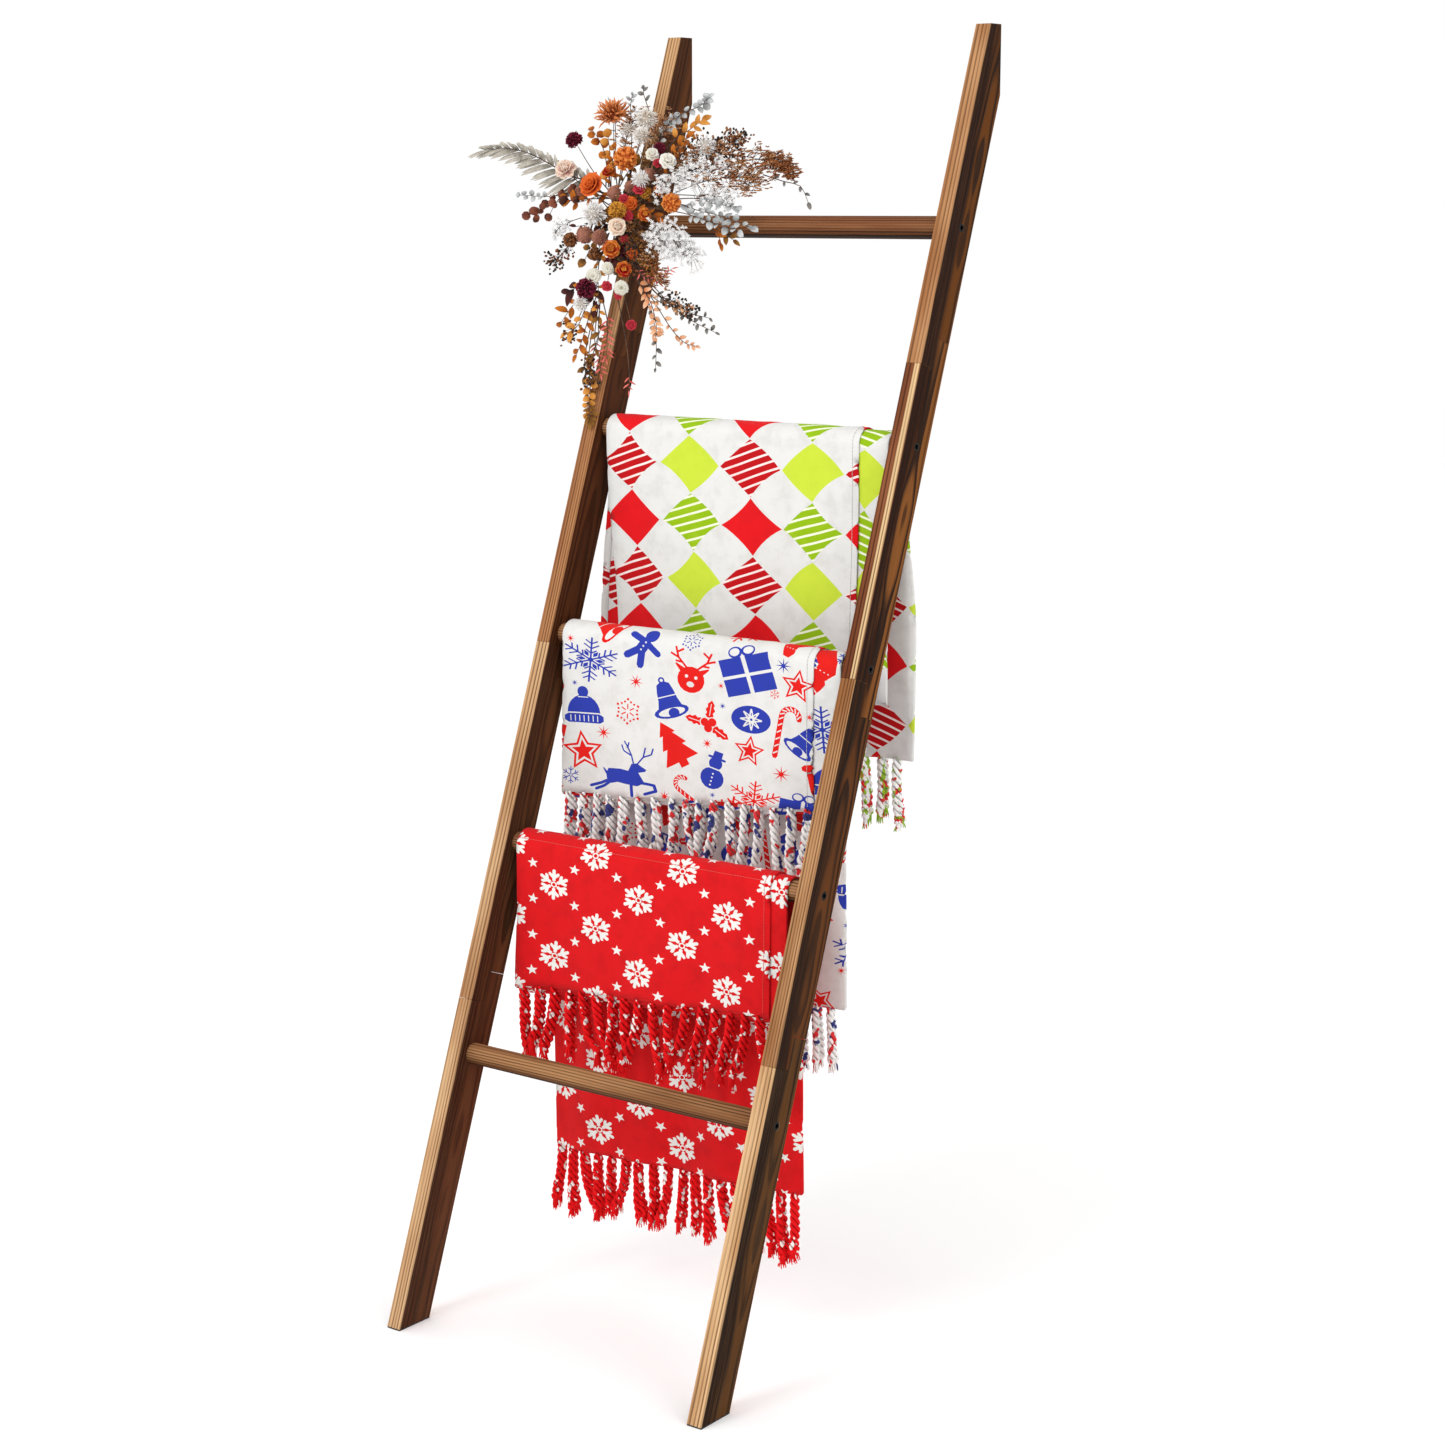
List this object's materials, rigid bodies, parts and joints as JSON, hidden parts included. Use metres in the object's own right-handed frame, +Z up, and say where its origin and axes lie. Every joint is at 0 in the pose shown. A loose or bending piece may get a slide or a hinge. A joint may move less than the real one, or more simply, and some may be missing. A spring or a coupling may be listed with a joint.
{
  "type": "blanket ladder with throws",
  "caption": "Leaning wooden blanket ladder with round-edged rungs, lap-jointed rails, folded fringed throws hung over its rungs and a dried-flower spray tied to a rail.",
  "frame": {"origin": "on the floor, midway between the rails, under the front edge of the feet", "axes": "+Z up, +X to the right seen from the front, +Y towards the wall that the ladder leans on"},
  "size_m": [0.7482, 0.587, 1.5505],
  "materials": {
    "charred_rail_pine": "torched and brushed pine, satin oil, dark grain",
    "charred_rung_pine": "torched pine, satin oil",
    "black_bolt": "black oxide",
    "insert_metal": "turned",
    "screw_steel": "dark zinc plate",
    "foot_rubber": "matt",
    "dried_stem": "dry, matt",
    "tie_wire": "paper-wrapped florist wire",
    "dried_petal": "dried petals, several colours",
    "dried_leaf": "dried leaves",
    "palm_leaf": "dried palm, grey beige",
    "diamond_cloth": "brushed woven throw, printed diamonds",
    "diamond_fringe": "twisted tassels",
    "motif_cloth": "brushed woven throw, printed winter motifs",
    "motif_fringe": "twisted tassels",
    "snowflake_cloth": "brushed woven throw, printed snowflakes",
    "snowflake_fringe": "twisted tassels"
  },
  "bodies": {
    "ladder": {"left_rail_bottom": "charred_rail_pine", "left_rail_lower": "charred_rail_pine", "left_rail_upper": "charred_rail_pine", "left_rail_top": "charred_rail_pine", "right_rail_bottom": "charred_rail_pine", "right_rail_lower": "charred_rail_pine", "right_rail_upper": "charred_rail_pine", "right_rail_top": "charred_rail_pine", "rung_1": "charred_rung_pine", "rung_2": "charred_rung_pine", "rung_3": "charred_rung_pine", "rung_4": "charred_rung_pine", "rung_5": "charred_rung_pine", "left_rung_bolts": "black_bolt", "right_rung_bolts": "black_bolt", "rung_inserts": "insert_metal", "lap_screws": "screw_steel", "left_foot_pad": "foot_rubber", "right_foot_pad": "foot_rubber", "spray_core": "dried_stem", "spray_tie": "tie_wire", "spray_stems": "dried_stem", "spray_blooms": "dried_petal", "spray_foliage": "dried_leaf", "spray_palm_leaf": "palm_leaf"},
    "upper_throw": {"diamond_throw": "diamond_cloth", "diamond_throw_front_fringe": "diamond_fringe", "diamond_throw_back_fringe": "diamond_fringe"},
    "middle_throw": {"motif_throw": "motif_cloth", "motif_throw_front_fringe": "motif_fringe", "motif_throw_back_fringe": "motif_fringe"},
    "lower_throw": {"snowflake_throw": "snowflake_cloth", "snowflake_throw_front_fringe": "snowflake_fringe", "snowflake_throw_back_fringe": "snowflake_fringe"}
  },
  "joints": [
    {"name": "upper_throw_slide", "type": "slide", "parent": "ladder", "child": "upper_throw", "axis": [1, 0, 0], "range_m": [-0.005, 0.005]},
    {"name": "middle_throw_slide", "type": "slide", "parent": "ladder", "child": "middle_throw", "axis": [1, 0, 0], "range_m": [-0.005, 0.005]},
    {"name": "lower_throw_slide", "type": "slide", "parent": "ladder", "child": "lower_throw", "axis": [1, 0, 0], "range_m": [-0.005, 0.005]}
  ]
}
